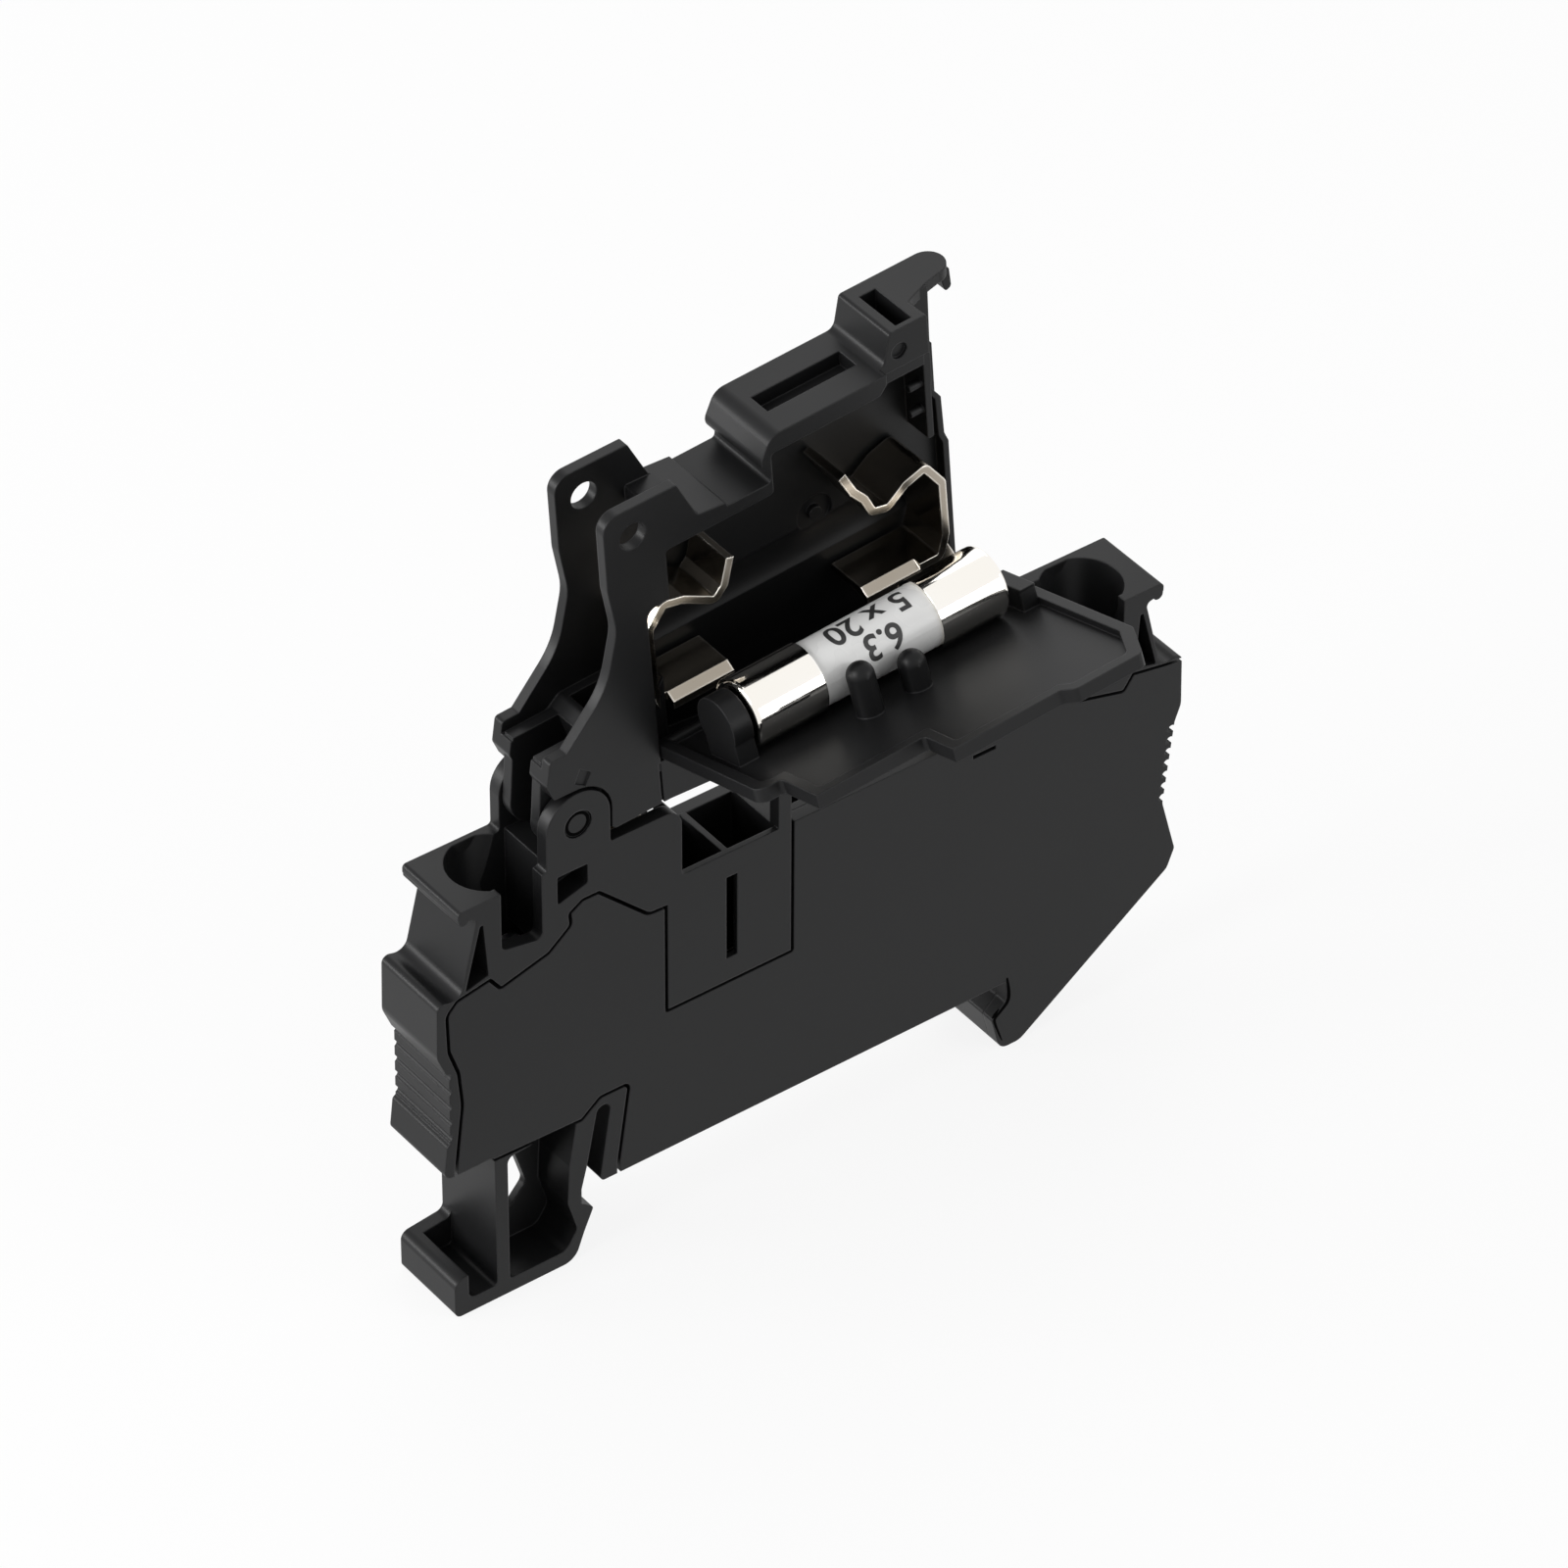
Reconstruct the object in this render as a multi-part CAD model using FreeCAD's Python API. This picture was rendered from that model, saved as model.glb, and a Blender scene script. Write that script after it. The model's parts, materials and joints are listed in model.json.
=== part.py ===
"""Rail-mounted fuse terminal block with a swinging fuse lever and a drop-down fuse flap.

Millimetres. The origin is the middle of the rail seat: +X runs along the block towards its
fixed hook, -Y is the open face that shows the side cover, +Z points away from the rail.
The lever is drawn in its own frame, with its origin at the pivot, and then turned into place.
The flap is drawn closed in that same frame and then dropped open about its hinge.
"""
import FreeCAD, Part
import math
import os

V = FreeCAD.Vector

# Block
pitch = 6.2
wall = 1.0
cover_thickness = 1.0
cover_seam = 0.27
rail_width = 35.0
rail_play = 0.3
rail_lip = 1.15
foot_depth = 5.8
foot_left = -27.9
neck_left = -24.5
seat_to_top = 22.9
wing_top = 28.4
wing_plate = 0.8
block_centre = 1.65
wing_reach = 28.55
wing_inner = 20.85
body_reach = 30.45
slot_top = 6.5
neck_web = 0.6
neck_web_y = 0.6
groove_radius = 0.3

# Wire entries and the rooms inside the body
entry_x = -22.4
funnel_top_radius = 2.85
wire_radius = 1.95
funnel_depth = 5.2
entry_depth = 9.2
shaft_left = -10.5
shaft_right = -0.55
shaft_floor = 12.1
shaft_bottom = 13.0
shoulder_top = 28.55
shoulder_right = -9.35
shaft_face = 0.45
shaft_rib = 0.45
rib_right = -5.4
post_width = 1.0

# Lever and its pivot
lever_x = -17.3
lever_z = 31.4
hub_u = -0.22
hub_w = -0.19
lever_tilt = 4.5
lever_range = 90.0
lever_width = 6.0
lever_wall = 0.8
lever_bottom = -3.0
lever_height = 22.5
lever_shell_right = 33.3
lever_back_right = 33.6
block_face = 0.7
ear_radius = 2.5
ear_gap = 0.25
hub_radius = 2.3
hub_split = 1.1
hub_gap = 0.12
trunnion_radius = 1.0
trunnion_play = 0.06
stop_play = 0.04

# Fuse
fuse_length = 20.0
cap_radius = 2.5
cap_length = 5.4
cap_wall = 0.25
cap_edge = 0.3
tube_radius = 2.25
tube_bore = 1.5
element_radius = 0.25
fuse_start = 10.0
fuse_height = 7.3

# Flap and its hinge
hinge_height = 1.75
hinge_radius = 0.5
hinge_play = 0.06
hinge_ear_width = 0.9
pin_radius = 0.3
flap_left = 6.6
flap_right = 33.2
flap_gap = 0.12
flap_plate = 0.5
flap_rim = 0.5
flap_rim_width = 0.85
flap_open = 72.0
post_radius = 0.95

# Contacts
clip_thickness = 0.6
clip_front = -1.9
clip_width = 3.8
lip_width = 0.7
lip_drop = 0.45
clip_bend = 0.45
swing_lift = 0.6
blade_thickness = 0.7
jaw_thickness = 0.5
jaw_play = 0.1
fork_width = 3.0
fork_left = -13.5
fork_right = 13.5
bar_thickness = 1.0
bar_width = 2.0
bar_left_z = 12.0
bar_right_z = 12.4
bar_top_z = 17.2
cage_thickness = 0.6
cage_width = 3.6

# Derived sizes
front = -pitch / 2
back = pitch / 2
inner = back - wall
face_wall = front + cover_thickness
seat_right = (rail_width + rail_play) / 2
seat_left = -seat_right
lever_half = lever_width / 2
lever_inner = lever_half - lever_wall
hinge_y = -lever_half + hinge_radius
right_ear = flap_right - 1.6
ear_face = inner - hub_gap
lean = math.radians(lever_tilt)
pivot_x = lever_x + hub_u * math.cos(lean) - hub_w * math.sin(lean)
pivot_z = lever_z + hub_u * math.sin(lean) + hub_w * math.cos(lean)
shoulder_left = pivot_x + ear_radius + 0.6
fuse_end = fuse_start + fuse_length
clip_back = clip_front + clip_width
clear = 1.0

# Outlines in the XZ plane. A point is (x, z) or (x, z, corner radius).
left_end = [
    (block_centre - body_reach, 17.2, 1.5),
    (block_centre - body_reach + 0.1, 21.7, 0.5),
    (block_centre - body_reach + 1.9, 21.2, 0.9),
    (block_centre - wing_reach + 1.45, 27.3, 0.4),
    (block_centre - wing_reach, wing_top - wing_plate, 0.3),
    (block_centre - wing_reach, wing_top, 0.3),
]
foot = [
    (foot_left, -foot_depth, 0.5),
    (seat_left - 0.6, -foot_depth, 1.3),
    (seat_left + 0.15, -rail_lip - 2.6, 0.6),
    (seat_left + 0.95, -rail_lip - 0.75, 0.25),
    (seat_left, -rail_lip, 0.15),
    (seat_left, 0.1, 0.3),
    (seat_left + 0.45, 1.9),
    (seat_left + 1.35, slot_top, 0.55),
    (seat_left + 2.5, slot_top + 0.1, 0.5),
    (seat_left + 1.5, 0.0, 0.35),
]
hook = [
    (seat_right, 0.0, 0.15),
    (seat_right, -rail_lip - 0.6, 0.3),
    (seat_right - 1.15, -rail_lip - 1.75, 0.25),
    (seat_right - 0.4, -foot_depth, 0.9),
    (seat_right + 1.3, -foot_depth, 1.2),
    (block_centre + body_reach - 0.7, 3.2, 0.8),
    (block_centre + body_reach - 0.1, 4.7, 0.5),
    (block_centre + body_reach - 1.3, 9.2, 1.0),
    (block_centre + body_reach - 0.5, 15.9, 0.8),
]
ear_corner = ear_radius - 0.02
top_side = [
    (block_centre + wing_inner, wing_top, 0.3),
    (block_centre + wing_inner + 0.4, seat_to_top, 0.3),
    (shoulder_right, seat_to_top, 0.3),
    (shoulder_right, shoulder_top, 1.3),
    (pivot_x + ear_radius, shoulder_top, 0.2),
    (pivot_x + ear_radius, pivot_z + ear_radius, ear_corner),
    (pivot_x - ear_radius, pivot_z + ear_radius, ear_corner),
    (pivot_x - ear_radius, wing_top, 0.3),
]
left_side = [
    (block_centre - body_reach + 0.9, 15.0, 1.0),
    (block_centre - body_reach + 0.85, 9.5),
    (block_centre - body_reach + 0.6, 9.3, 0.3),
    (block_centre - body_reach + 0.3, 6.6, 0.6),
    (neck_left, 6.6, 0.3),
    (neck_left, -2.3, 0.6),
    (foot_left, -2.7, 0.7),
]
cover_left = [
    (-27.75, 6.0),
    (-27.6, 7.7),
    (-27.05, 12.4, 4.0),
    (-27.3, 15.2, 2.0),
    (-28.0, 17.3, 2.0),
    (-28.1, 20.5, 1.0),
    (-27.2, 21.4, 0.6),
    (-24.5, 21.9, 0.2),
    (-23.7, 20.8, 0.2),
    (-20.0, 21.8, 0.8),
]
cover_top = [
    (-18.3, 23.2, 0.4),
    (-18.4, 24.2, 0.4),
    (-17.3, 24.9, 0.5),
    (-15.9, 24.9, 0.5),
    (-12.0, 21.1, 0.8),
    (shaft_left, 21.0),
    (shaft_left, shaft_floor),
    (shaft_right, shaft_floor),
    (shaft_right, seat_to_top + clear),
    (20.8, seat_to_top + clear),
    (21.8, 22.6, 0.6),
]
cover_foot = [
    (block_centre + body_reach + 2, 20.9),
    (block_centre + body_reach + 2, -foot_depth - 2),
    (-14.75, -foot_depth - 2),
    (-14.75, 1.0, 0.3),
    (-13.85, 7.2, 0.3),
    (-16.0, 7.2, 0.3),
    (-17.5, 6.0, 0.3),
    (neck_left, 6.2),
    (neck_left - 0.2, 6.0),
]
cage_room = [(-26.4, 8.0, 1.0), (-17.2, 8.0, 1.0), (-17.2, 21.0, 0.8), (-26.4, 21.0, 0.8)]
duct_floor_left = bar_left_z - bar_thickness / 2
duct_floor_right = bar_right_z - bar_thickness / 2
duct_left = [
    (-18.0, 15.9),
    (-16.4, duct_floor_left),
    (-1.4, duct_floor_left),
    (-1.4, shaft_bottom),
    (-15.0, shaft_bottom),
    (-16.6, 18.4),
    (-18.0, 18.4),
]
duct_right = [
    (20.6, 18.6),
    (17.6, 18.6),
    (17.0, 13.6),
    (12.7, 13.6),
    (12.7, duct_floor_right),
    (19.2, duct_floor_right),
    (20.6, 15.9),
]
saving_rooms = [
    [(1.4, 3.0, 0.8), (11.3, 3.0, 0.8), (11.3, 20.0, 0.8), (1.4, 20.0, 0.8)],
    [(-12.8, 2.0, 0.8), (0.2, 2.0, 0.8), (0.2, 9.4, 0.8), (-12.0, 9.4, 0.8)],
    [(13.0, 1.6, 0.8), (28.6, 1.6, 2.5), (29.6, 6.6, 0.8), (13.0, 9.6, 0.8)],
]

# Lever outlines in the lever's own frame
lever_shell = [
    (2.6, -2.25),
    (7.0, -2.3),
    (13.5, lever_bottom),
    (lever_shell_right, lever_bottom, 0.4),
    (lever_shell_right, 18.0),
    (29.9, 18.0),
    (29.9, 24.95, 0.2),
    (26.9, 24.95, 0.3),
    (26.3, lever_height, 0.7),
    (16.9, lever_height, 1.2),
    (15.8, 20.4, 0.9),
    (16.7, 19.5, 0.3),
    (16.6, 18.85, 0.3),
    (13.2, 18.85),
    (13.1, 19.15, 0.1),
    (10.9, 19.4, 0.3),
    (9.5, 22.6, 0.2),
    (3.8, 22.7, 1.2),
    (3.7, 17.0, 3.0),
    (4.1, 13.5, 4.0),
    (2.9, 9.3, 6.0),
    (-0.5, 5.85),
    (-1.8, 5.85, 0.3),
    (-2.2, 4.0, 0.5),
    (-1.8, 2.8, 0.3),
    (-1.1, 2.0),
    (2.6, -2.2),
]
lever_back_edge = [
    (lever_back_right, lever_bottom, 0.6),
    (lever_back_right, 10.2, 0.3),
    (33.3, 11.0, 0.3),
    (33.2, 14.1, 0.3),
    (32.6, 15.0, 0.3),
    (32.5, 17.3, 0.4),
    (31.9, 18.4, 0.4),
    (31.9, 24.95),
]
lever_room = [
    (8.1, -1.4, 0.3),
    (13.5, lever_bottom + lever_wall),
    (lever_back_right + clear, lever_bottom + lever_wall),
    (lever_back_right + clear, 20.5),
    (25.6, 20.5, 0.3),
    (17.0, 20.9, 0.6),
    (17.0, 18.0, 0.4),
    (10.0, 18.3),
    (8.1, 18.3, 0.3),
]
lever_front_skin = [
    (-3, lever_bottom - clear),
    (lever_shell_right, lever_bottom - clear),
    (lever_shell_right, hinge_height + 16),
    (26.1, hinge_height + 19.9),
    (16.0, hinge_height + 18.0),
    (12.0, 19.2),
    (9.6, 24),
    (-3, 24),
]
lever_channel = [
    (-3, 5.0),
    (1.6, 5.0, 0.5),
    (2.6, 5.8, 0.4),
    (7.6, 5.8, 0.4),
    (9.0, 8.0),
    (9.0, 19.5, 0.2),
    (11.6, 19.35),
    (11.6, 24),
    (2, 24),
    (-3, 12),
]
blade_well = [(3.0, lever_bottom - clear), (9.0, lever_bottom - clear), (9.0, 6.5), (3.0, 6.5)]
lever_rib = [
    (29.2, 20.4),
    (29.2, 24.9),
    (31.7, 24.9),
    (31.6, 20.8),
    (31.6, 17.6),
    (31.5, 16.8),
    (31.5, 12.6, 0.15),
    (31.0, 12.6, 0.15),
    (31.0, 20.4),
]
hub_arm = [
    (hub_u, hub_w - hub_radius),
    (3.2, hub_w - hub_radius),
    (3.2, 5.2),
    (-1.8, 5.2),
    (hub_u - hub_radius, hub_w),
]
hub_split_room = [(-4, -4), (2.7, -4), (2.7, 1.5, 0.5), (1.6, 5.8), (-4, 5.8)]


def rounded_wire(points, y):
    """Closed outline in the XZ plane at the given y, with its corners rounded."""
    count = len(points)
    edges = []
    starts = []
    ends = []
    for i, point in enumerate(points):
        here = V(point[0], y, point[1])
        radius = point[2] if len(point) > 2 else 0.0
        before = V(points[i - 1][0], y, points[i - 1][1]) - here
        after = V(points[(i + 1) % count][0], y, points[(i + 1) % count][1]) - here
        if radius == 0.0:
            starts.append(here)
            ends.append(here)
            continue
        before.normalize()
        after.normalize()
        angle = before.getAngle(after)
        reach = radius / math.tan(angle / 2)
        start = here + before * reach
        end = here + after * reach
        middle = before + after
        middle.normalize()
        tip = here + middle * (radius / math.sin(angle / 2) - radius)
        edges.append(Part.Arc(start, tip, end).toShape())
        starts.append(start)
        ends.append(end)
    for i in range(count):
        leave = ends[i]
        arrive = starts[(i + 1) % count]
        if leave.distanceToPoint(arrive) > 1e-6:
            edges.append(Part.LineSegment(leave, arrive).toShape())
    return Part.Wire(Part.__sortEdges__(edges))


def slab(points, y0, y1):
    """Solid plate between y0 and y1 with a rounded outline."""
    return Part.Face(rounded_wire(points, y0)).extrude(V(0, y1 - y0, 0))


def box(x0, x1, y0, y1, z0, z1):
    return Part.makeBox(x1 - x0, y1 - y0, z1 - z0, V(x0, y0, z0))


def rod(x, z, radius, y0, y1):
    """Cylinder across the block."""
    return Part.makeCylinder(radius, y1 - y0, V(x, y0, z), V(0, 1, 0))


def shaft_along(x0, x1, y, z, radius):
    """Cylinder along the block."""
    return Part.makeCylinder(radius, x1 - x0, V(x0, y, z), V(1, 0, 0))


def mirrored(points):
    return [(2 * block_centre - point[0],) + tuple(point[1:]) for point in points]


def flip(shape):
    """Copy of a left-hand feature at the right-hand end."""
    return shape.mirror(V(block_centre, 0, 0), V(1, 0, 0))


def other_side(shape):
    return shape.mirror(V(0, 0, 0), V(0, 1, 0))


def fuse_all(shapes):
    return shapes[0].multiFuse(shapes[1:]).removeSplitter()


def strip(path, thickness, y0, y1, bend):
    """Bent strip of constant thickness that follows a path in XZ."""
    sides = [[], []]
    last = len(path) - 1
    for i, point in enumerate(path):
        into = V(point[0] - path[i - 1][0], 0, point[1] - path[i - 1][1]) if i else None
        out = V(path[i + 1][0] - point[0], 0, path[i + 1][1] - point[1]) if i < last else None
        for heading in (into, out):
            if heading:
                heading.normalize()
        if into and out:
            turn = into.z * out.x - into.x * out.z
            along = into + out
            along.normalize()
            scale = 1 / along.dot(out)
        else:
            turn = 0
            along = out or into
            scale = 1
        normal = V(-along.z, 0, along.x)
        for side, sign in ((0, 1), (1, -1)):
            off = normal * (sign * scale * thickness / 2)
            place = point[0] + off.x, point[1] + off.z
            if turn:
                place += (bend + thickness / 2 * (1 if turn * sign > 0 else -1),)
            sides[side].append(place)
    return slab(sides[0] + sides[1][::-1], y0, y1)


# Housing and side cover

def body_outline():
    return foot + hook + mirrored(left_end) + top_side + left_end[::-1] + left_side


def cover_region():
    """Where the side cover lies on the open face, before the body outline trims it."""
    cover_right = mirrored(cover_left[3:])[::-1]
    return cover_left + cover_top + cover_right[:4] + cover_foot


def wire_funnel():
    """Round entry that narrows to the wire hole, merged with the slot open to the face."""
    low = wing_top - funnel_depth
    cone = Part.makeCone(wire_radius, funnel_top_radius, funnel_depth, V(entry_x, 0, low))
    high = wing_top + clear
    squeeze = box(entry_x - 4, entry_x + 4, -inner - 0.3, inner + 0.6, low, high)
    bore = Part.makeCylinder(wire_radius, entry_depth - funnel_depth, V(entry_x, 0, wing_top - entry_depth))
    slot = slab([(-23.6, high), (-20.4, high), (-20.4, 23.1, 0.5), (-23.6, 23.7, 0.5)], front - clear, 0)
    tool = box(-21.6, pivot_x - ear_radius + 0.4, -inner, inner, 20.0, high)
    return fuse_all([cone.common(squeeze), bore, slot, tool])


def end_void():
    """Thin opening between a wing's strut and the body."""
    return slab([(-25.05, 27.35, 0.15), (-24.65, 22.2, 0.1), (-26.5, 21.7, 0.1)], front - clear, inner)


def wing_bead():
    """Rounded bead under the outer edge of a wing."""
    return rod(block_centre - wing_reach + 0.45, wing_top - wing_plate, 0.4, front, back)


def finger_grooves():
    """Fine grooves across both ends of the body."""
    cuts = []
    for i in range(5):
        left = block_centre - body_reach + 0.75
        cuts.append(rod(left, 15.2 - 1.3 * i, groove_radius, front - clear, back + clear))
    for i in range(7):
        right = block_centre + body_reach - 0.75 - 0.09 * i
        cuts.append(rod(right, 15.4 - 0.95 * i, groove_radius, front - clear, back + clear))
    return cuts


def foot_pockets():
    floor = -foot_depth + 1.15
    arm = slab([(foot_left + 1.1, 0), (foot_left + 1.1, floor, 0.6), (neck_left, floor, 0.4),
                (neck_left, 0)], front - clear, inner)
    neck = [(neck_left + 1.0, floor, 0.3), (seat_left - 1.3, floor, 1.0), (seat_left - 0.35, -3.2, 0.8),
            (seat_left - 1.1, -0.6, 0.8), (seat_left - 0.95, 2.6), (seat_left - 0.3, 6.3, 0.3),
            (neck_left + 1.0, 6.0, 0.6)]
    before = slab(neck, front - clear, neck_web_y - neck_web / 2)
    behind = slab(neck, neck_web_y + neck_web / 2, back + clear)
    window = slab([(neck_left + 2.6, -2.3, 0.5), (neck_left + 3.6, -1.9, 0.8), (neck_left + 4.8, -0.5, 0.7),
                   (neck_left + 4.2, 1.5, 1.2), (neck_left + 3.7, 3.1, 0.4), (neck_left + 2.6, 2.6, 0.5)],
                  front - clear, back + clear)
    return [arm, before, behind, window]


def stop_post():
    """Post beside the shafts that the closed lever rests on."""
    left = shaft_right - post_width
    top = lever_z + (left - lever_x) * math.tan(lean) + lever_bottom / math.cos(lean) - stop_play
    return box(left, shaft_right, front, -inner, seat_to_top - clear, top)


def hub_slot():
    """Gap between the two ears for the lever's hub."""
    floor = pivot_z - hub_radius - 0.4
    return slab([(pivot_x - ear_radius - clear, floor), (shoulder_left, floor),
                 (shoulder_left, pivot_z + ear_radius + clear),
                 (pivot_x - ear_radius - clear, pivot_z + ear_radius + clear)], -inner, inner)


def housing():
    body = fuse_all([slab(body_outline(), front, back), stop_post(), wing_bead(), flip(wing_bead())])
    outlines = [cage_room, mirrored(cage_room), duct_left, duct_right] + saving_rooms
    rooms = [slab(points, -inner, inner) for points in outlines]
    shafts = [
        box(-14.4, -9.9, -inner, inner, duct_floor_left, wing_top + clear),
        box(-10.0, shoulder_right + 0.1, -blade_thickness, blade_thickness, 24.5, wing_top + clear),
        box(12.7, 18.6, -inner, inner, duct_floor_right, wing_top + clear),
        box(shoulder_right, rib_right - shaft_rib, front + shaft_face, inner, shaft_bottom, wing_top),
        box(rib_right, shaft_right - post_width, front + shaft_face, inner, shaft_bottom, wing_top),
        box(-5.8, -4.9, front - clear, 0, shaft_bottom + 1, 20.9),
        box(shoulder_right, shaft_right, inner - 0.1, back + clear, seat_to_top - 0.25, wing_top),
        box(-0.1, 3.2, -1.45, inner, 20.6, wing_top),
    ]
    recess = slab(cover_region(), front - clear, face_wall)
    ear_window = slab([(-19.2, 27.6, 0.15), (-19.2, 25.3, 0.15), (-16.8, 26.0, 0.15), (-16.8, 27.6, 0.15)],
                      front - clear, -inner + 0.6)
    bearing = rod(pivot_x, pivot_z, trunnion_radius + trunnion_play, front - clear, back + clear)
    ends = [wire_funnel(), end_void()]
    cuts = [recess, ear_window, bearing, hub_slot()] + ends + [flip(cut) for cut in ends]
    return body.cut(cuts + rooms + shafts + finger_grooves() + foot_pockets()).removeSplitter()


def side_cover():
    plate = slab(body_outline(), front, face_wall)
    border = Part.Face(rounded_wire(cover_region(), front - clear))
    inset = border.makeOffset2D(-cover_seam).extrude(V(0, cover_thickness + 2 * clear, 0))
    slit = slab([(14.4, 20.95), (16.3, 20.95), (16.3, 21.3), (14.4, 21.3)], front - clear, front + 0.6)
    return plate.common(inset).cut(finger_grooves() + [slit]).removeSplitter()


# Lever

def flap_outline(grow, low):
    """Closed flap as seen from the open face, above the given height."""
    top = hinge_height + grow
    return [
        (flap_left - grow, low),
        (flap_right + grow, low),
        (flap_right + grow, hinge_height + 16.6, 1.0),
        (31.4 + grow, top + 20.0, 0.6),
        (26.1, top + 20.0, 0.4),
        (25.4, top + 19.2, 0.4),
        (16.9 - grow, top + 19.2, 0.3),
        (16.9 - grow, top + 16.0, 0.3),
        (8.4 - grow, top + 16.0, 0.3),
        (8.4 - grow, top + 12.0, 0.3),
        (flap_left - grow, top + 12.0, 0.8),
    ]


def ear_sweep():
    """Room that one ear takes, seen from the lever, as the lever turns from closed to open."""
    radius = ear_radius + ear_gap
    stem = slab([(hub_u - radius, hub_w), (hub_u - radius, hub_w - 4), (hub_u + radius, hub_w - 4),
                 (hub_u + radius, hub_w)], -lever_half - clear, -ear_face)
    taken = [rod(hub_u, hub_w, radius, -lever_half - clear, -ear_face)]
    for turn in (0, lever_range / 2, lever_range):
        turned = stem.copy()
        turned.rotate(V(hub_u, 0, hub_w), V(0, -1, 0), -lever_tilt - turn)
        taken.append(turned)
    return taken


def hinge_ear(x):
    """Ear on the lever's bottom strip that holds the flap's pin."""
    reach = hinge_radius + 0.1
    foot_z = hinge_height - 1.4
    end = x + hinge_ear_width
    return slab([(x, foot_z), (end, foot_z), (end, hinge_height + reach, 0.3),
                 (x, hinge_height + reach, 0.3)], -lever_half + 0.05, hinge_y + reach)


def lever_arm():
    """Finger tab at the lever's free end with a small hook under its rounded tip."""
    under = 24.15
    top = 24.95
    outline = [V(29.0, lever_half, under), V(29.0, -0.9, under), V(30.3, -0.3, under), V(31.6, 0.2, under),
               V(33.0, 0.5, under), V(33.0, lever_half, under)]
    blade = Part.Face(Part.makePolygon(outline + outline[:1])).extrude(V(0, 0, top - under))
    tip_radius = (lever_half - 0.5) / 2
    tip = Part.makeCylinder(tip_radius, top - under, V(33.0, lever_half - tip_radius, under))
    hook_tip = slab([(33.3, 24.5), (34.1, 24.5), (34.2, 23.0, 0.3), (33.7, 22.8, 0.2)], 0.9, 2.4)
    return [blade, tip, hook_tip]


def fuse_lever():
    rim_y = lever_inner - 0.8
    shell = slab(lever_shell, -lever_half, lever_half)
    back_plate = slab([(20, lever_bottom)] + lever_back_edge + [(28, 24.95), (28, 21), (20, 21)],
                      rim_y, lever_half)
    rim_inside = [(x - 0.45,) + tuple(rest) for x, *rest in lever_back_edge[1:-1]]
    floor = lever_bottom + lever_wall
    back_room = slab([(19, floor), (lever_back_right - 0.45, floor, 0.3)] + rim_inside
                     + [(31.4, 20.5), (19, 20.5)], rim_y - clear, lever_inner)
    room = slab(lever_room, -lever_half - clear, lever_inner)
    skin = slab(lever_front_skin, -lever_half, -lever_inner).common(shell)
    doorway = slab(flap_outline(flap_gap, hinge_height - hinge_radius - flap_gap),
                   -lever_half - clear, -lever_half + flap_plate + flap_rim + 0.3)
    channel = slab(lever_channel, -lever_inner, lever_inner)
    well = slab(blade_well, -1.5, 1.5)
    body = shell.cut([room, channel, well]).fuse([back_plate.cut(back_room), skin]).cut(doorway)
    ears = ear_sweep()
    body = body.cut(ears + [other_side(ear) for ear in ears])
    trunnion = rod(hub_u, hub_w, trunnion_radius, front + 0.1, back - 0.1)
    split = slab(hub_split_room, -hub_split, hub_split)
    hub = rod(hub_u, hub_w, hub_radius, -ear_face, ear_face)
    body = fuse_all([body, hub, slab(hub_arm, -ear_face, ear_face), trunnion]).cut(split)
    details = [
        rod(5.95, 20.4, 1.0, -lever_half - clear, lever_half + clear),
        shaft_along(fuse_start - 0.6, fuse_end + 0.6, 0, fuse_height, cap_radius + 0.15),
        slab([(11.2, 15.3, 0.3), (12.5, 14.9, 0.3), (12.5, 16.9, 0.3), (11.2, 16.9, 0.3)],
             0, lever_half + clear),
        box(18.2, 25.2, -0.9, 0.9, 21.4, 24),
        box(27.7, 29.0, -1.9, 1.9, 23.0, 26),
        box(26.0, 30.5, -lever_half - clear, -lever_half + block_face, 20.0, 26),
        rod(27.6, 23.2, 0.6, -lever_half, -lever_half + block_face + 0.25),
        rod(23.3, 9.3, 1.4, lever_inner - clear, lever_inner + 0.3),
        slab([(0.4, 4.1), (-0.1, 3.1), (0.7, 2.5), (1.2, 3.4)], -lever_half - clear, -lever_half + 0.15),
        box(flap_left - 0.3, flap_left - 0.1, -lever_half - clear, -lever_half + 0.25,
            lever_bottom - clear, hinge_height - 0.7),
    ]
    extras = lever_arm() + [
        slab(lever_rib, 0, lever_inner + 0.1),
        shaft_along(30.0, 31.4, 0.5, 17.0, 0.3),
        shaft_along(30.0, 31.4, 0.5, 14.9, 0.3),
        rod(23.3, 9.3, 0.5, lever_inner - 0.1, lever_inner + 0.4),
        rod(29.0, 10.6, 0.5, lever_inner - 0.3, lever_inner + 0.1),
        hinge_ear(flap_left - flap_gap - hinge_ear_width),
        hinge_ear(right_ear),
    ]
    body = fuse_all([body.cut(details)] + extras)
    pin_hole = shaft_along(flap_left - 0.8, right_ear + 2 * hinge_ear_width, hinge_y, hinge_height,
                           pin_radius + hinge_play)
    return body.cut([pin_hole, contact_left(), contact_right()]).removeSplitter()


# Flap, drawn closed in the lever's frame

def fuse_stop(u0, u1, top):
    """Rounded stop on the flap at one end of the fuse, up to the given y."""
    disc = shaft_along(u0, u1, 0, fuse_height, 2.0)
    base = box(u0, u1, -lever_half, 0, fuse_height - 1.7, fuse_height + 1.7)
    return disc.fuse(base).common(box(u0, u1, -lever_half, top, 0, lever_height))


def flap_post(u, w, height):
    stem = rod(u, w, post_radius, -lever_half, -lever_half + height)
    return fuse_all([stem, Part.makeSphere(post_radius, V(u, -lever_half + height, w))])


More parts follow.
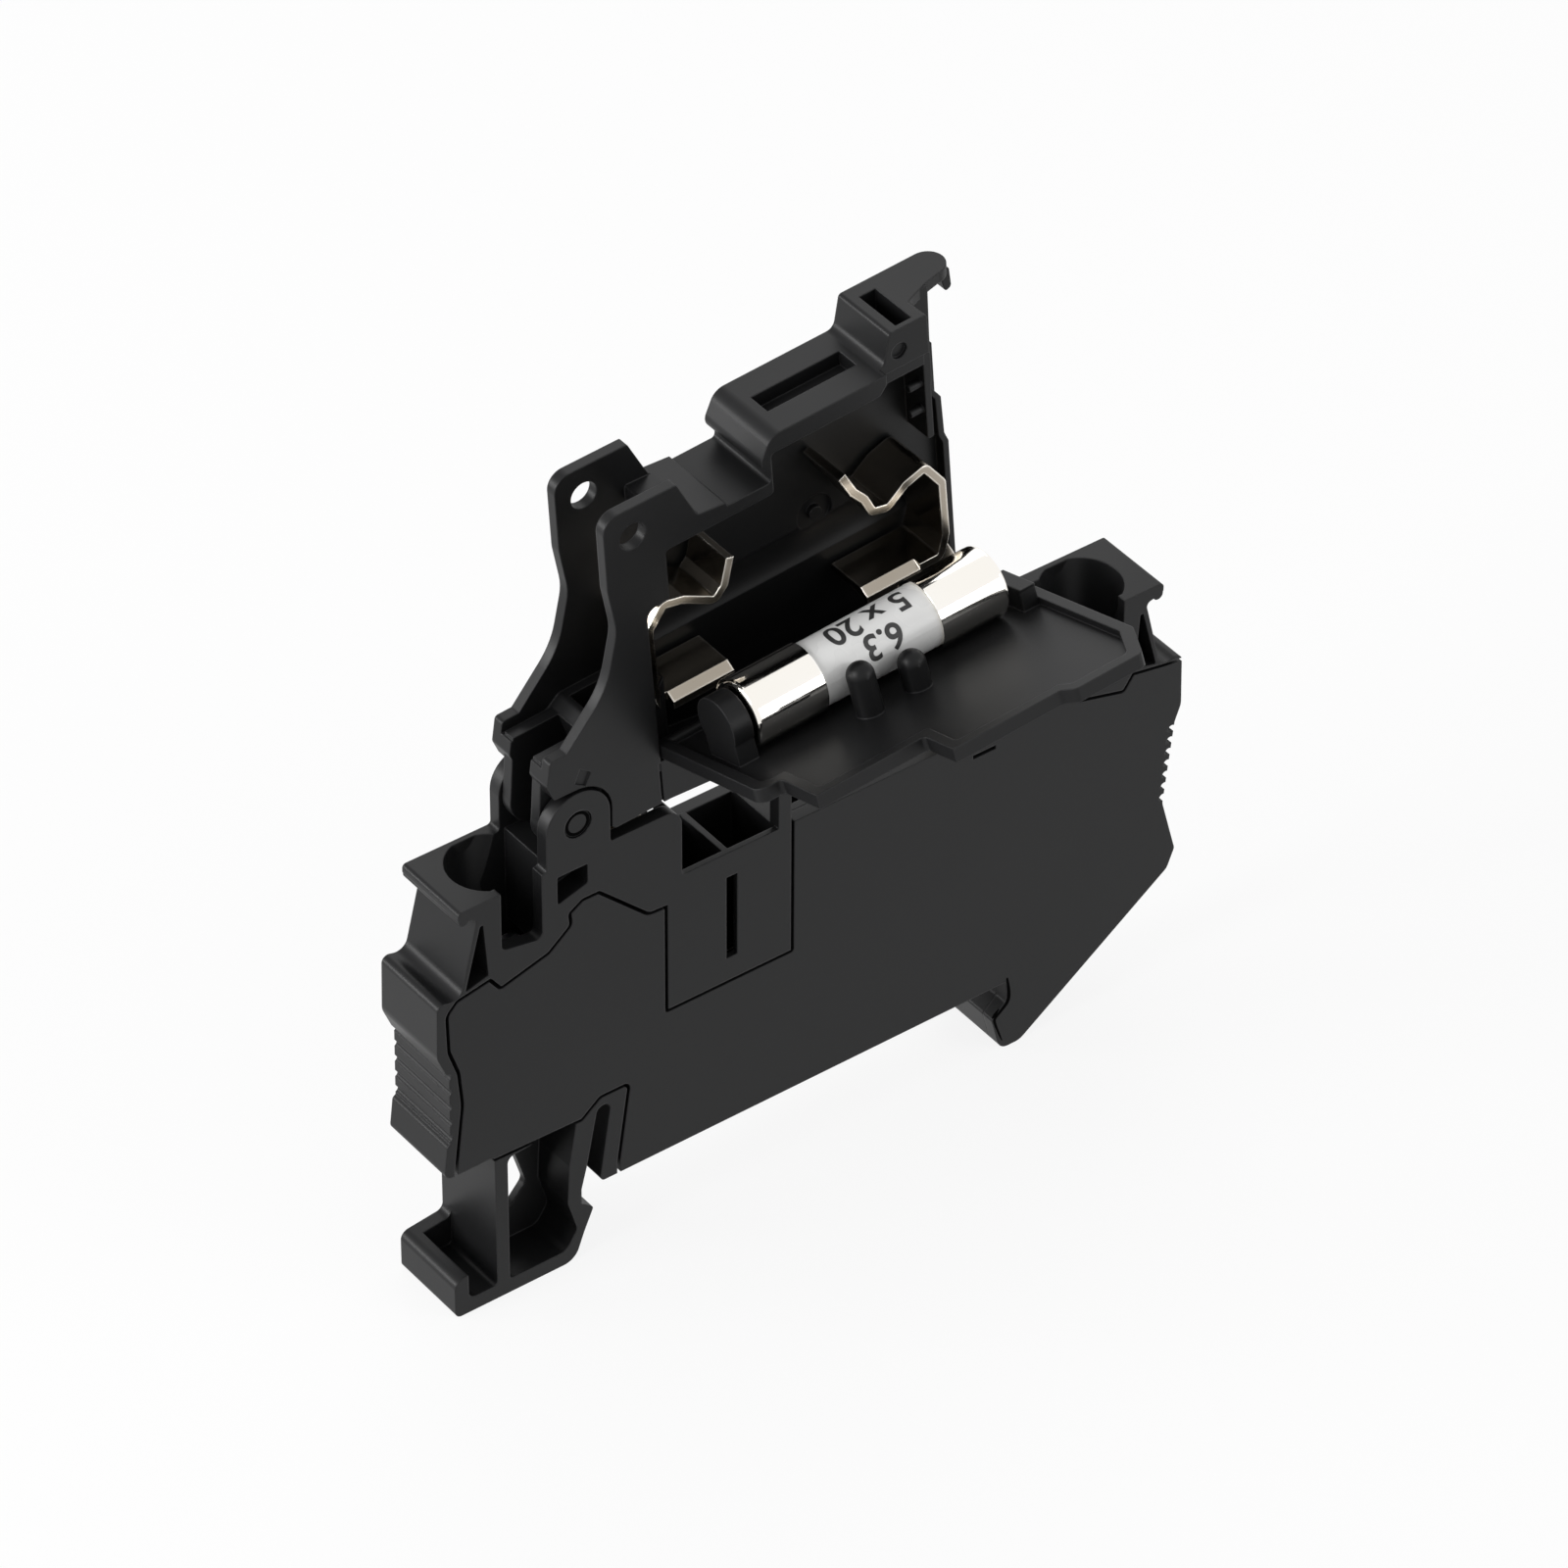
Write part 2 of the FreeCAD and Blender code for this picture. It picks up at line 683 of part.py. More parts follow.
def fuse_flap():
    face = -lever_half
    rim_face = face + flap_plate + flap_rim
    outline = flap_outline(0, hinge_height)
    plate = slab(outline, face, face + flap_plate)
    rim_room = slab([
        (flap_left + flap_rim_width, 0),
        (flap_right - flap_rim_width, 0),
        (flap_right - flap_rim_width, hinge_height + 16.2, 0.8),
        (30.8, hinge_height + 19.1, 0.5),
        (26.4, hinge_height + 19.1, 0.4),
        (25.8, hinge_height + 18.4, 0.4),
        (17.7, hinge_height + 18.4, 0.3),
        (17.7, hinge_height + 15.2, 0.3),
        (9.2, hinge_height + 15.2, 0.3),
        (9.2, hinge_height + 11.2, 0.3),
        (flap_left + flap_rim_width, hinge_height + 11.2, 0.5),
    ], face, rim_face)
    rim = slab(outline, face, rim_face).cut(rim_room)
    barrel = shaft_along(flap_left, flap_right, hinge_y, hinge_height, hinge_radius)
    pin = shaft_along(flap_left - 0.7, right_ear + 1.5 * hinge_ear_width, hinge_y, hinge_height, pin_radius)
    reach = cap_radius + post_radius
    left_stop = fuse_stop(8.3, fuse_start - 0.2, 2.0)
    right_stop = fuse_stop(31.1, 32.3, -0.9)
    posts = [
        flap_post(17.4, fuse_height + reach, 3.2),
        flap_post(21.2, fuse_height + reach, 2.2),
        flap_post(19.3, fuse_height - reach, 1.6),
    ]
    tabs = [
        box(8.4, 9.3, face, face + 1.0, hinge_height + 15.5, hinge_height + 16.0),
        box(16.9, 17.9, face, face + 1.0, hinge_height + 18.8, hinge_height + 19.2),
    ]
    notch = box(right_ear - flap_gap, right_ear + hinge_ear_width + flap_gap, face - clear, face + 3,
                0, hinge_height + hinge_radius + 0.45)
    cradle = shaft_along(fuse_start, fuse_end, 0, fuse_height, cap_radius)
    flap = fuse_all([plate, rim, barrel, left_stop, right_stop] + posts + tabs)
    return flap.cut([notch, cradle]).fuse(pin).removeSplitter()


def fuse_pieces():
    tube = shaft_along(fuse_start + cap_wall, fuse_end - cap_wall, 0, fuse_height, tube_radius)
    tube = tube.cut(shaft_along(fuse_start, fuse_end, 0, fuse_height, tube_bore))
    cap = shaft_along(fuse_start, fuse_start + cap_length, 0, fuse_height, cap_radius)
    rim = [edge for edge in cap.Edges if edge.Closed and edge.BoundBox.XMax < fuse_start + cap_wall]
    cap = cap.makeFillet(cap_edge, rim)
    cap = cap.cut(shaft_along(fuse_start + cap_wall, fuse_end, 0, fuse_height, tube_radius))
    element = shaft_along(fuse_start + cap_wall, fuse_end - cap_wall, 0, fuse_height, element_radius)
    return {
        "fuse_tube": tube,
        "fuse_cap_left": cap,
        "fuse_cap_right": cap.mirror(V((fuse_start + fuse_end) / 2, 0, 0), V(1, 0, 0)),
        "fuse_element": element,
    }


# Contacts carried by the lever: a bent clip for the fuse cap and a blade for the housing

def jaw_lip(u0, u1, low):
    """Front edge of a lower jaw, bent down so that the fuse slides in."""
    half = clip_thickness / 2
    back_y = clip_front + lip_width
    corners = [V(u0, back_y, low + half), V(u0, clip_front, low + half - lip_drop),
               V(u0, clip_front, low - half - lip_drop), V(u0, back_y, low - half)]
    return Part.Face(Part.makePolygon(corners + corners[:1])).extrude(V(u1 - u0, 0, 0))


def clip_with_lip(path, u0, u1):
    """Bent clip whose lower jaw, between u0 and u1, ends in a lip."""
    low = path[0][1]
    loop = strip(path, clip_thickness, clip_front, clip_back, clip_bend)
    jaw_front = box(u0 - clear, u1, clip_front - clear, clip_front + lip_width, low - clear, low + clear)
    return fuse_all([loop.cut(jaw_front), jaw_lip(u0, u1, low)])


def contact_left():
    jaw = cap_radius + clip_thickness / 2
    low = fuse_height - jaw - jaw_play
    clip = clip_with_lip([
        (fuse_start + 3.4, low), (7.75, low), (7.25, 6.2), (7.25, 10.9), (8.5, 12.5), (10.0, 12.1),
        (12.4, fuse_height + jaw + swing_lift), (13.2, 11.5), (13.8, 13.5),
    ], 8.6, fuse_start + 3.4)
    root = low + 0.2
    blade = slab([
        (3.5, -7.2, 0.5), (6.3, -7.2, 0.5), (6.3, root - 1.4, 0.4), (7.5, root), (7.5, root + 2.8),
        (6.6, root + 2.8, 0.3), (3.5, root - 1.2, 0.6),
    ], -blade_thickness / 2, blade_thickness / 2)
    return fuse_all([clip, blade])


def contact_right():
    jaw = cap_radius + clip_thickness / 2
    low = fuse_height - jaw - jaw_play
    clip = clip_with_lip([
        (fuse_end - 5.9, low), (fuse_end + 0.1, low), (fuse_end + 0.6, 6.0), (fuse_end + 0.55, 10.4),
        (fuse_end - 0.7, 12.3), (fuse_end - 2.3, 11.8), (fuse_end - 3.8, fuse_height + jaw + swing_lift),
        (fuse_end - 5.0, 11.0), (fuse_end - 5.6, 12.4), (fuse_end - 6.4, 13.4), (fuse_end - 7.2, 15.1),
    ], fuse_end - 5.9, fuse_end - 1.6)
    blade = slab([(30.0, -13.5, 0.5), (33.0, -13.5, 0.5), (33.0, low - 3.5, 0.5), (31.3, low + 0.2),
                  (30.0, low + 0.2)], -blade_thickness / 2, blade_thickness / 2)
    return fuse_all([clip, blade])


# Metal pieces in the housing

def fork(x0, z0, z1):
    """Two jaws that a blade of the lever slides between."""
    inside = blade_thickness / 2 + jaw_play
    jaw = slab([(x0, z0), (x0 + fork_width, z0), (x0 + fork_width, z1, 0.8), (x0, z1, 0.8)],
               inside, inside + jaw_thickness)
    return [jaw, other_side(jaw)]


def current_bar_left():
    path = [(-24.4, bar_top_z), (-17.0, bar_top_z), (-15.7, bar_left_z), (-1.7, bar_left_z)]
    bar = strip(path, bar_thickness, -bar_width / 2, bar_width / 2, 0.9)
    return fuse_all([bar] + fork(fork_left, bar_left_z, 27.2))


def current_bar_right():
    path = [(27.7, bar_top_z), (19.7, bar_top_z), (18.6, bar_right_z), (fork_right, bar_right_z)]
    bar = strip(path, bar_thickness, -bar_width / 2, bar_width / 2, 0.9)
    return fuse_all([bar] + fork(fork_right, bar_right_z, 22.3))


def spring_cage():
    """Bent steel loop with a window for the wire and one for the current bar."""
    loop = strip([(-24.6, 18.5), (-19.2, 19.9), (-18.0, 13.6), (-20.6, 9.2), (-25.4, 10.2), (-25.4, 15.6)],
                 cage_thickness, -cage_width / 2, cage_width / 2, 0.9)
    wire_window = box(-24.2, -20.4, -1.3, 1.3, 17.6, 21)
    bar_bottom = bar_top_z - bar_thickness / 2
    bar_window = box(-19.6, -17.0, -bar_width / 2 - 0.15, bar_width / 2 + 0.15,
                     bar_bottom, bar_bottom + bar_thickness + 0.3)
    return loop.cut([wire_window, bar_window])


def place_on_lever(shape):
    placed = shape.copy()
    placed.rotate(V(0, 0, 0), V(0, -1, 0), lever_tilt)
    placed.translate(V(lever_x, 0, lever_z))
    return placed


def place_on_flap(shape):
    opened = shape.copy()
    opened.rotate(V(0, hinge_y, hinge_height), V(1, 0, 0), flap_open)
    return place_on_lever(opened)


def build():
    pieces = {
        "housing": housing(),
        "side_cover": side_cover(),
        "fuse_lever": place_on_lever(fuse_lever()),
        "fuse_flap": place_on_flap(fuse_flap()),
        "lever_contact_left": place_on_lever(contact_left()),
        "lever_contact_right": place_on_lever(contact_right()),
        "current_bar_left": current_bar_left(),
        "current_bar_right": current_bar_right(),
        "spring_cage_left": spring_cage(),
        "spring_cage_right": flip(spring_cage()),
    }
    for name, shape in fuse_pieces().items():
        pieces[name] = place_on_flap(shape)
    return pieces


os.makedirs("parts", exist_ok=True)
for name, shape in build().items():
    print(name, len(shape.Solids), "solid(s)", round(shape.Volume, 1), "mm3, valid:", shape.isValid())
    shape.exportStep("parts/" + name + ".step")
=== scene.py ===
# %% [markdown]
# # A fuse terminal block for a mounting rail
# The block is a thin plastic moulding that clips on a rail. A lever swings up on two ears, and a
# flap on the lever drops open with the fuse on it. The construction comes from the imported frame,
# in metres. This script gives every piece its finish and adds the print on the fuse and the painted
# shade of the gaps at the pivots and the hook. It also sets up the camera, the light and the floor.

import json
import math

import bmesh
import bpy
from mathutils import Matrix, Vector


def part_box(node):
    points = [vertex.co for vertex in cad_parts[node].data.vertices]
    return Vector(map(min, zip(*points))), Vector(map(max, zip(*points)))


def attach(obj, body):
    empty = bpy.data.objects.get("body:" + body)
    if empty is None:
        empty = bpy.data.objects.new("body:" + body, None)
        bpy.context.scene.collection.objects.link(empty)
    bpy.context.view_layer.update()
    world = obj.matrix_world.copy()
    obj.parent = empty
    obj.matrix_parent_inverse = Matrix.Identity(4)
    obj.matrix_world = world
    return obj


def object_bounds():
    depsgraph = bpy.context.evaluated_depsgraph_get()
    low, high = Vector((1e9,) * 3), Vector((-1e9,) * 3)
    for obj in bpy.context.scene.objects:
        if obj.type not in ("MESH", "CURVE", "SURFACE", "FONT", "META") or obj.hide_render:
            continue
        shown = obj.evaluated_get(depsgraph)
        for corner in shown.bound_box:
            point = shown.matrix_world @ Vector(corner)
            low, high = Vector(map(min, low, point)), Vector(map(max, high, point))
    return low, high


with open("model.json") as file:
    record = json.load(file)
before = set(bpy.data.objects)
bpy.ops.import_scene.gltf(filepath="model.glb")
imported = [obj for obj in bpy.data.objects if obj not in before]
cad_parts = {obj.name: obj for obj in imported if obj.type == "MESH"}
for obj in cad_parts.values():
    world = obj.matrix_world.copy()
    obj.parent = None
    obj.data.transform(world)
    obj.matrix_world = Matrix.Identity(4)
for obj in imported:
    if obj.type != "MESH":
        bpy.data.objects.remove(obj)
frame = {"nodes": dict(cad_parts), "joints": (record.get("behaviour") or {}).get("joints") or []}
cad_low, cad_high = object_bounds()
nodes = frame["nodes"]
scene = bpy.context.scene
scene.view_settings.view_transform = "Standard"
MM = 0.001
print("nodes:", sorted(nodes))

# %% [markdown]
# ## Camera
# The photograph was taken from far away with a long lens, so parallel edges stay nearly parallel.
# A camera could be placed by its own position, but then every small turn also moves the picture. It
# is easier to place by where it looks: a target on the object, an azimuth round it, an elevation
# above it and a distance. The last small roll makes the upright edges agree.

# %% Camera
AZIMUTH = math.radians(-36.94)
ELEVATION = math.radians(39.43)
ROLL = math.radians(0.25)
DISTANCE = 598.5 * MM
TARGET = Vector((3.49, 3.09, 20.15)) * MM
# The lens is given in millimetres, and the nearest and farthest things it sees in metres.
LENS = 208.9
NEAREST = 0.05
FARTHEST = 20.0


def camera_axes(azimuth, elevation, roll):
    """Right, up and back directions of a camera that looks at the object."""
    back = Vector((math.sin(azimuth) * math.cos(elevation),
                   -math.cos(azimuth) * math.cos(elevation),
                   math.sin(elevation)))
    right = Vector((math.cos(azimuth), math.sin(azimuth), 0))
    up = back.cross(right)
    turned_right = right * math.cos(roll) + up * math.sin(roll)
    turned_up = up * math.cos(roll) - right * math.sin(roll)
    return turned_right, turned_up, back


def add_camera():
    """Camera that sees the block as the photograph does."""
    right, up, back = camera_axes(AZIMUTH, ELEVATION, ROLL)
    data = bpy.data.cameras.new("camera")
    data.lens = LENS
    data.clip_start = NEAREST
    data.clip_end = FARTHEST
    camera = bpy.data.objects.new("camera", data)
    camera.matrix_world = Matrix((right, up, back)).transposed().to_4x4()
    camera.location = TARGET + back * DISTANCE
    scene.collection.objects.link(camera)
    scene.camera = camera
    print("camera at", [round(v, 3) for v in camera.location])


add_camera()

# %% [markdown]
# ## Shared shader groups
# Moulded plastic and plated metal are never one flat colour. Their small changes could come from
# pictures, but a picture has one size and a seam somewhere, and a noise in the object's own space has
# neither. Three node groups hold the effects that several materials use: a fine speckle from the
# mould's texture, long soft streaks from rolling or drawing, and the soft rounding of every edge. Each
# group only puts out values and normals that change over the surface, and each material feeds them
# to colour, roughness or bump.

# %% Node helpers


def new_group(name, inputs, outputs):
    """Empty shader node group with float sockets."""
    group = bpy.data.node_groups.new(name, "ShaderNodeTree")
    for socket, value in inputs.items():
        made = group.interface.new_socket(socket, in_out="INPUT", socket_type="NodeSocketFloat")
        made.default_value = value
    for socket in outputs:
        group.interface.new_socket(socket, in_out="OUTPUT", socket_type="NodeSocketFloat")
    start = group.nodes.new("NodeGroupInput")
    end = group.nodes.new("NodeGroupOutput")
    return group, start, end


def feed(tree, value, socket):
    """Give a socket a number, a colour or another node's output."""
    if isinstance(value, bpy.types.NodeSocket):
        tree.links.new(value, socket)
    elif isinstance(value, tuple):
        socket.default_value = (*value, 1)
    else:
        socket.default_value = value


def add_noise(tree, place, scale, detail):
    """Noise whose scale is a number or another node's output."""
    noise = tree.nodes.new("ShaderNodeTexNoise")
    noise.inputs["Detail"].default_value = detail
    tree.links.new(place, noise.inputs["Vector"])
    feed(tree, scale, noise.inputs["Scale"])
    return noise.outputs["Fac"]


def add_range(tree, value, low, high, out_low, out_high):
    """Map Range node with constant limits."""
    node = tree.nodes.new("ShaderNodeMapRange")
    tree.links.new(value, node.inputs["Value"])
    node.inputs["From Min"].default_value = low
    node.inputs["From Max"].default_value = high
    node.inputs["To Min"].default_value = out_low
    node.inputs["To Max"].default_value = out_high
    return node.outputs["Result"]


# %% Mould texture group
GRAIN_SCALE = 2600.0
GRAIN_DETAIL = 3.0
PATCH_SCALE = 70.0
PATCH_DETAIL = 2.0


def mould_texture():
    """Fine grain of an eroded mould, and broad soft patches where the melt flowed."""
    inputs = {"Grain Scale": GRAIN_SCALE, "Patch Scale": PATCH_SCALE}
    group, start, end = new_group("mould_texture", inputs, ["Grain", "Patches"])
    place = group.nodes.new("ShaderNodeTexCoord").outputs["Object"]
    grain = add_noise(group, place, start.outputs["Grain Scale"], GRAIN_DETAIL)
    patches = add_noise(group, place, start.outputs["Patch Scale"], PATCH_DETAIL)
    group.links.new(grain, end.inputs["Grain"])
    group.links.new(patches, end.inputs["Patches"])
    return group


MOULD = mould_texture()

# %% Drawn metal group
STREAK_SCALE = 900.0
STREAK_DETAIL = 4.0
STREAK_STRETCH = (0.12, 1.0, 1.0)
CLOUD_SCALE = 240.0
CLOUD_DETAIL = 2.0


def drawn_metal():
    """Streaks along X from rolling or drawing, with a slow cloudiness over them."""
    group, start, end = new_group("drawn_metal", {"Streak Scale": STREAK_SCALE}, ["Streaks", "Clouds"])
    place = group.nodes.new("ShaderNodeTexCoord").outputs["Object"]
    stretch = group.nodes.new("ShaderNodeMapping")
    stretch.inputs["Scale"].default_value = STREAK_STRETCH
    group.links.new(place, stretch.inputs["Vector"])
    streaks = add_noise(group, stretch.outputs["Vector"], start.outputs["Streak Scale"], STREAK_DETAIL)
    clouds = add_noise(group, place, CLOUD_SCALE, CLOUD_DETAIL)
    group.links.new(streaks, end.inputs["Streaks"])
    group.links.new(clouds, end.inputs["Clouds"])
    return group


DRAWN = drawn_metal()

# %% [markdown]
# ## Soft edges
# The rounding of the edges could be cut into the mesh with a bevel. The solids come from the frame
# and stay as they are, so a Bevel shader node turns only the normals near an edge. Where the turned
# normal and the plain one disagree there is an edge, and that makes the mask for the lighter edges:
# partly wear and bare cut metal, partly a painted highlight.

# %% Soft edge group
EDGE_RADIUS = 0.15 * MM
EDGE_SAMPLES = 6
# The two normals' dot product is below the first on an edge, and above the second on a face.
EDGE_AGREES = 0.80
FACE_AGREES = 0.995


def soft_edge():
    """Normals that turn round every edge, and a mask that is 1 on the edge and 0 away from it."""
    group, start, end = new_group("soft_edge", {"Radius": EDGE_RADIUS}, ["Edge"])
    group.interface.new_socket("Normal", in_out="OUTPUT", socket_type="NodeSocketVector")
    bevel = group.nodes.new("ShaderNodeBevel")
    bevel.samples = EDGE_SAMPLES
    plain = group.nodes.new("ShaderNodeNewGeometry").outputs["Normal"]
    agree = group.nodes.new("ShaderNodeVectorMath")
    agree.operation = "DOT_PRODUCT"
    group.links.new(start.outputs["Radius"], bevel.inputs["Radius"])
    group.links.new(bevel.outputs["Normal"], agree.inputs[0])
    group.links.new(plain, agree.inputs[1])
    edge = add_range(group, agree.outputs["Value"], EDGE_AGREES, FACE_AGREES, 1.0, 0.0)
    group.links.new(edge, end.inputs["Edge"])
    group.links.new(bevel.outputs["Normal"], end.inputs["Normal"])
    return group


EDGES = soft_edge()
print("shader groups:", [group.name for group in (MOULD, DRAWN, EDGES)])

# %% [markdown]
# ## Dark moulded plastic
# The housing, cover, lever and flap are the same dark grey polyamide. Its own colour is nearly black,
# and what the eye sees is mostly a satin reflection of the bright room, so a grey colour would look
# right from one side only. The colour here is nearly black and the gloss does the rest. The mould's
# grain breaks the reflection up, and slow patches of gloss show where the melt flowed. The soft edges
# give the thin highlights of a real moulding. The edges are also a shade lighter, partly from the
# polish of hands and partly as a painted highlight along the rims.

# %% Material helpers
# A noise stays between these two over most of a surface.
NOISE_LOW = 0.3
NOISE_HIGH = 0.7


def new_material(name):
    """New material, its node tree and its Principled shader."""
    material = bpy.data.materials.new(name)
    material.use_nodes = True
    tree = material.node_tree
    shader = next(n for n in tree.nodes if n.type == "BSDF_PRINCIPLED")
    return material, tree, shader


def add_group(tree, group, values):
    """Copy of a shared group with its own values."""
    node = tree.nodes.new("ShaderNodeGroup")
    node.node_tree = group
    for socket, value in values.items():
        node.inputs[socket].default_value = value
    return node


def blend_colors(tree, factor, first, second):
    """Color between two, each either a plain colour or another node's output."""
    mix = tree.nodes.new("ShaderNodeMix")
    mix.data_type = "RGBA"
    tree.links.new(factor, mix.inputs["Factor"])
    for name, color in (("A", first), ("B", second)):
        feed(tree, color, next(i for i in mix.inputs if i.name == name and i.type == "RGBA"))
    return next(o for o in mix.outputs if o.type == "RGBA")


def vary_roughness(tree, shader, noise, smooth, rough):
    """Roughness between two values that follows a noise."""
    value = add_range(tree, noise, NOISE_LOW, NOISE_HIGH, smooth, rough)
    tree.links.new(value, shader.inputs["Roughness"])


def add_bump(tree, shader, height, strength, distance, normal):
    """Bump from a height, over the normals of the soft edges."""
    bump = tree.nodes.new("ShaderNodeBump")
    bump.inputs["Strength"].default_value = strength
    bump.inputs["Distance"].default_value = distance
    tree.links.new(height, bump.inputs["Height"])
    tree.links.new(normal, bump.inputs["Normal"])
    tree.links.new(bump.outputs["Normal"], shader.inputs["Normal"])


# %% Plastic
PLASTIC_DARKER = (0.006375, 0.00646, 0.0068)
PLASTIC_LIGHTER = (0.009, 0.00912, 0.0096)
# Edges take this colour, partly for the polish of hands and partly as a painted highlight along the rims.
POLISH_AND_HIGHLIGHT_COLOR = (0.024, 0.024, 0.025)
PLASTIC_SHINE = 0.19
PLASTIC_SMOOTH = 0.37
PLASTIC_ROUGH = 0.45
GRAIN_STRENGTH = 0.10
GRAIN_HEIGHT = 0.02 * MM


def plastic_material():
    """Satin, nearly black plastic with a fine grain, and edges painted lighter, partly for polish and
    partly as a painted highlight.
    """
    material, tree, shader = new_material("dark_plastic")
    texture = add_group(tree, MOULD, {"Grain Scale": GRAIN_SCALE, "Patch Scale": PATCH_SCALE})
    edges = add_group(tree, EDGES, {"Radius": EDGE_RADIUS})
    base = blend_colors(tree, texture.outputs["Patches"], PLASTIC_DARKER, PLASTIC_LIGHTER)
    # On the edges the colour goes lighter: partly polish, partly painted highlight.
    worn_and_highlit = blend_colors(tree, edges.outputs["Edge"], base, POLISH_AND_HIGHLIGHT_COLOR)
    tree.links.new(worn_and_highlit, shader.inputs["Base Color"])
    vary_roughness(tree, shader, texture.outputs["Patches"], PLASTIC_SMOOTH, PLASTIC_ROUGH)
    shader.inputs["Specular IOR Level"].default_value = PLASTIC_SHINE
    add_bump(tree, shader, texture.outputs["Grain"], GRAIN_STRENGTH, GRAIN_HEIGHT, edges.outputs["Normal"])
    return material


PLASTIC = plastic_material()
print("plastic nodes:", len(PLASTIC.node_tree.nodes))

# %% [markdown]
# ## Metals
# The contacts are plated strip with a warm tint from the brass below. Their broad faces are given a
# darker colour than the plating has, as painted shade for the dark plastic that they reflect inside
# the lever. The cut edges of the strip are painted bright, partly for the bare metal of the cut and
# partly as a painted highlight, so the edge mask picks between two colours. One plain bright metal
# would make the broad faces inside the lever far too light. The fuse's caps are plated too and nearly
# mirror bright. All are metallic shaders whose roughness follows the streaks of the drawn strip, and
# whose tint comes and goes slowly over the piece.

# %% Metal materials
# Width of the band along each edge that is painted bright: partly bare metal, partly painted highlight.
BARE_AND_HIGHLIGHT_WIDTH = 0.28 * MM
FINE_RADIUS = 0.08 * MM
STREAK_STRENGTH = 0.03
STREAK_HEIGHT = 0.01 * MM


def metal_material(name, face_color, tint, bright, smooth, rough, streak_scale):
    """Streaky metal with a slow change between two colours, and cut edges painted bright, partly for bare
    metal and partly as a painted highlight.
    """
    material, tree, shader = new_material(name)
    shader.inputs["Metallic"].default_value = 1.0
    texture = add_group(tree, DRAWN, {"Streak Scale": streak_scale})
    edges = add_group(tree, EDGES, {"Radius": FINE_RADIUS})
    bare_and_highlight_edges = add_group(tree, EDGES, {"Radius": BARE_AND_HIGHLIGHT_WIDTH})
    faces = blend_colors(tree, texture.outputs["Clouds"], face_color, tint)
    # Cut edges are painted bright: partly bare metal, partly painted highlight.
    color = blend_colors(tree, bare_and_highlight_edges.outputs["Edge"], faces, bright)
    tree.links.new(color, shader.inputs["Base Color"])
    streaks = texture.outputs["Streaks"]
    vary_roughness(tree, shader, streaks, smooth, rough)
    add_bump(tree, shader, streaks, STREAK_STRENGTH, STREAK_HEIGHT, edges.outputs["Normal"])
    return material


# The contacts' face colours are darkened as painted shade for the dark plastic that they reflect inside the
# lever.
CONTACT = metal_material("plated_contact", face_color=(0.40, 0.36, 0.31), tint=(0.33, 0.29, 0.23),
                         bright=(0.97, 0.93, 0.86), smooth=0.14, rough=0.20, streak_scale=STREAK_SCALE)
CAP = metal_material("nickel_cap", face_color=(0.96, 0.94, 0.90), tint=(0.94, 0.90, 0.83),
                     bright=(0.98, 0.97, 0.94), smooth=0.05, rough=0.11, streak_scale=1500.0)
SPRING = metal_material("spring_steel", face_color=(0.60, 0.60, 0.61), tint=(0.52, 0.52, 0.54),
                        bright=(0.80, 0.80, 0.80), smooth=0.28, rough=0.34, streak_scale=STREAK_SCALE)
print("metals:", [metal.name for metal in (CONTACT, CAP, SPRING)])

# %% [markdown]
# ## Ceramic
# The fuse's tube is glazed white ceramic. Its colour is even, with a very slight cloudiness. A coat
# over a rough base could stand for the glaze, but the glaze is thin and clear, so one smooth surface
# shows the same gloss with less work.

# %% Ceramic
CERAMIC_SHADE = (0.78, 0.78, 0.77)
CERAMIC_LIGHT = (0.86, 0.86, 0.85)
CERAMIC_GRAIN = 1800.0
CERAMIC_CLOUDS = 300.0
GLAZE_SMOOTH = 0.22
GLAZE_ROUGH = 0.32
GLAZE_STRENGTH = 0.05
GLAZE_HEIGHT = 0.01 * MM


def ceramic_material():
    """Glazed white ceramic."""
    material, tree, shader = new_material("fuse_ceramic")
    texture = add_group(tree, MOULD, {"Grain Scale": CERAMIC_GRAIN, "Patch Scale": CERAMIC_CLOUDS})
    edges = add_group(tree, EDGES, {"Radius": FINE_RADIUS})
    color = blend_colors(tree, texture.outputs["Patches"], CERAMIC_SHADE, CERAMIC_LIGHT)
    tree.links.new(color, shader.inputs["Base Color"])
    vary_roughness(tree, shader, texture.outputs["Patches"], GLAZE_SMOOTH, GLAZE_ROUGH)
    add_bump(tree, shader, texture.outputs["Grain"], GLAZE_STRENGTH, GLAZE_HEIGHT, edges.outputs["Normal"])
    return material


CERAMIC = ceramic_material()

# %% Finishes on the nodes
FINISHES = {
    "housing": PLASTIC,
    "side_cover": PLASTIC,
    "fuse_lever": PLASTIC,
    "fuse_flap": PLASTIC,
    "lever_contact_left": CONTACT,
    "lever_contact_right": CONTACT,
    "current_bar_left": CONTACT,
    "current_bar_right": CONTACT,
    "spring_cage_left": SPRING,
    "spring_cage_right": SPRING,
    "fuse_tube": CERAMIC,
    "fuse_cap_left": CAP,
    "fuse_cap_right": CAP,
    "fuse_element": SPRING,
}
for name, material in FINISHES.items():
    for slot in nodes[name].material_slots:
        slot.material = material
    print(name, "takes", material.name)

# %% [markdown]
# ## Ink, and the dark of a narrow gap
# Two plain finishes belong to the small pieces that come next. Ink on ceramic is dull and nearly
# black. A gap between two mouldings that is narrower than a third of a millimetre lets no light out,
# so it reads as a black line. A thin bead that is sunk in the surface and coloured nearly black and
# dull is painted shade for such a gap, and needs no cut in the solid.

